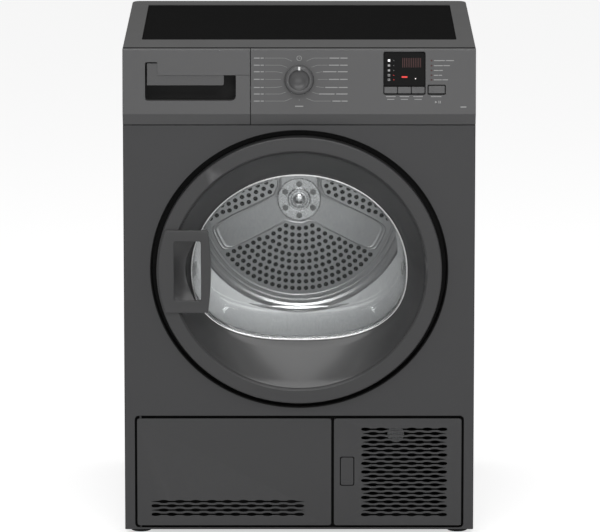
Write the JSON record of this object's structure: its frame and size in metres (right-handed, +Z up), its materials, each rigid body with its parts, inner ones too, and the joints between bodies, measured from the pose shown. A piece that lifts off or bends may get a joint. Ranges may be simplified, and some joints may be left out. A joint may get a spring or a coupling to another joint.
{
  "type": "clothes dryer",
  "caption": "Free-standing condenser clothes dryer with an oval glazed door, a turning steel drum, a console with a water drawer and a vented kick area.",
  "frame": {"origin": "centre of the footprint box on the floor, under the feet", "axes": "+Z up, front faces -Y, +X to the right seen from the front"},
  "size_m": [0.596, 0.6086, 0.845],
  "materials": {
    "cabinet_paint": "satin",
    "bare_steel": "satin",
    "moulded_grey": "fine moulded",
    "inner_plastic": "matte",
    "worktop_panel": "fine matte",
    "gloss_black": "gloss",
    "funnel_plastic": "semi gloss",
    "board_green": "matte",
    "black_rubber": "matte",
    "felt": "felt",
    "bearing_bronze": "satin",
    "drum_steel": "bright",
    "lifter_plastic": "satin",
    "condenser_alloy": "satin",
    "filter_plastic": "satin",
    "tank_plastic": "translucent",
    "door_glass": "clear"
  },
  "bodies": {
    "cabinet": {"base_tray": "inner_plastic", "side_panel_left": "cabinet_paint", "side_panel_right": "cabinet_paint", "front_panel": "cabinet_paint", "rear_panel": "bare_steel", "worktop_frame": "moulded_grey", "worktop_inset": "worktop_panel", "console_fascia": "moulded_grey", "display_window": "gloss_black", "control_board": "board_green", "front_bulkhead": "inner_plastic", "door_gasket": "black_rubber", "drum_felt_ring": "felt", "rear_bulkhead": "bare_steel", "rear_bearing": "bearing_bronze", "heater_duct": "bare_steel", "drum_belt": "black_rubber", "motor_stator": "bare_steel", "condenser_core": "condenser_alloy", "condenser_cover": "inner_plastic", "fan_housing": "inner_plastic", "drain_pump": "inner_plastic", "lint_filter": "filter_plastic", "door_latch": "inner_plastic", "grille_cover": "moulded_grey", "cable_gland": "black_rubber", "hinge_bracket": "bare_steel", "tank_guide": "inner_plastic"},
    "door": {"door_frame": "moulded_grey", "door_funnel": "funnel_plastic", "door_glass": "door_glass", "door_back_ring": "inner_plastic", "door_handle": "moulded_grey", "hinge_leaf": "bare_steel", "door_catch": "inner_plastic"},
    "drum": {"drum_shell": "drum_steel", "drum_back": "drum_steel", "drum_hub": "drum_steel", "drum_lifter_1": "lifter_plastic", "drum_lifter_2": "lifter_plastic", "drum_lifter_3": "lifter_plastic"},
    "roller_left": {"drum_roller_left": "inner_plastic"},
    "roller_right": {"drum_roller_right": "inner_plastic"},
    "motor": {"motor_rotor": "bare_steel", "fan_wheel": "inner_plastic"},
    "knob": {"program_knob": "moulded_grey"},
    "option_1": {"option_button_1": "moulded_grey"},
    "option_2": {"option_button_2": "moulded_grey"},
    "option_3": {"option_button_3": "moulded_grey"},
    "start": {"start_button": "moulded_grey"},
    "release": {"release_button": "moulded_grey"},
    "flap": {"service_flap": "moulded_grey"},
    "drawer": {"tank_front": "moulded_grey", "tank_body": "tank_plastic"},
    "lever_left": {"condenser_lever_left": "inner_plastic"},
    "lever_right": {"condenser_lever_right": "inner_plastic"},
    "foot_fl": {"foot_front_left": "black_rubber"},
    "foot_fr": {"foot_front_right": "black_rubber"},
    "foot_bl": {"foot_back_left": "black_rubber"},
    "foot_br": {"foot_back_right": "black_rubber"}
  },
  "joints": [
    {"name": "door_swing", "type": "hinge", "parent": "cabinet", "child": "door", "pos_m": [0.231, -0.28569, 0.4656], "axis": [0, 0, 1], "range_deg": [0, 135]},
    {"name": "drum_spin", "type": "hinge", "parent": "cabinet", "child": "drum", "pos_m": [0, 0.02031, 0.5], "axis": [0, 1, 0], "continuous": true},
    {"name": "roller_left_spin", "type": "hinge", "parent": "cabinet", "child": "roller_left", "pos_m": [-0.1837, -0.18569, 0.23761], "axis": [0, 1, 0], "continuous": true},
    {"name": "roller_right_spin", "type": "hinge", "parent": "cabinet", "child": "roller_right", "pos_m": [0.1837, -0.18569, 0.23761], "axis": [0, 1, 0], "continuous": true},
    {"name": "motor_spin", "type": "hinge", "parent": "cabinet", "child": "motor", "pos_m": [0.17, 0.11031, 0.115], "axis": [0, 1, 0], "continuous": true},
    {"name": "program_turn", "type": "hinge", "parent": "cabinet", "child": "knob", "pos_m": [0, -0.28474, 0.792], "axis": [0, -0.9956, 0.0941], "continuous": true},
    {"name": "option_1_press", "type": "slide", "parent": "cabinet", "child": "option_1", "axis": [0, 0.9956, -0.0941], "range_m": [0, 0.0015], "stiffness_N_per_m": 600, "springref_m": -0.0006},
    {"name": "option_2_press", "type": "slide", "parent": "cabinet", "child": "option_2", "axis": [0, 0.9956, -0.0941], "range_m": [0, 0.0015], "stiffness_N_per_m": 600, "springref_m": -0.0006},
    {"name": "option_3_press", "type": "slide", "parent": "cabinet", "child": "option_3", "axis": [0, 0.9956, -0.0941], "range_m": [0, 0.0015], "stiffness_N_per_m": 600, "springref_m": -0.0006},
    {"name": "start_press", "type": "slide", "parent": "cabinet", "child": "start", "axis": [0, 0.9956, -0.0941], "range_m": [0, 0.0015], "stiffness_N_per_m": 600, "springref_m": -0.0006},
    {"name": "release_press", "type": "slide", "parent": "cabinet", "child": "release", "axis": [0, 1, 0], "range_m": [0, 0.003], "stiffness_N_per_m": 600, "springref_m": -0.001},
    {"name": "flap_swing", "type": "hinge", "parent": "cabinet", "child": "flap", "pos_m": [-0.271, -0.27469, 0.114], "axis": [0, 0, -1], "range_deg": [0, 100]},
    {"name": "drawer_slide", "type": "slide", "parent": "cabinet", "child": "drawer", "axis": [0, -1, 0], "range_m": [0, 0.45]},
    {"name": "lever_left_turn", "type": "hinge", "parent": "cabinet", "child": "lever_left", "pos_m": [-0.245, -0.24569, 0.107], "axis": [0, 1, 0], "range_deg": [0, 90]},
    {"name": "lever_right_turn", "type": "hinge", "parent": "cabinet", "child": "lever_right", "pos_m": [-0.065, -0.24569, 0.107], "axis": [0, -1, 0], "range_deg": [0, 90]},
    {"name": "foot_fl_screw", "type": "slide", "parent": "cabinet", "child": "foot_fl", "axis": [0, 0, -1], "range_m": [0, 0.012]},
    {"name": "foot_fr_screw", "type": "slide", "parent": "cabinet", "child": "foot_fr", "axis": [0, 0, -1], "range_m": [0, 0.012]},
    {"name": "foot_bl_screw", "type": "slide", "parent": "cabinet", "child": "foot_bl", "axis": [0, 0, -1], "range_m": [0, 0.012]},
    {"name": "foot_br_screw", "type": "slide", "parent": "cabinet", "child": "foot_br", "axis": [0, 0, -1], "range_m": [0, 0.012]}
  ],
  "couplings": [
    {"joint": "roller_left_spin", "follows": "drum_spin", "ratio": -8.1429},
    {"joint": "roller_right_spin", "follows": "drum_spin", "ratio": -8.1429},
    {"joint": "motor_spin", "follows": "drum_spin", "ratio": 28.5}
  ]
}
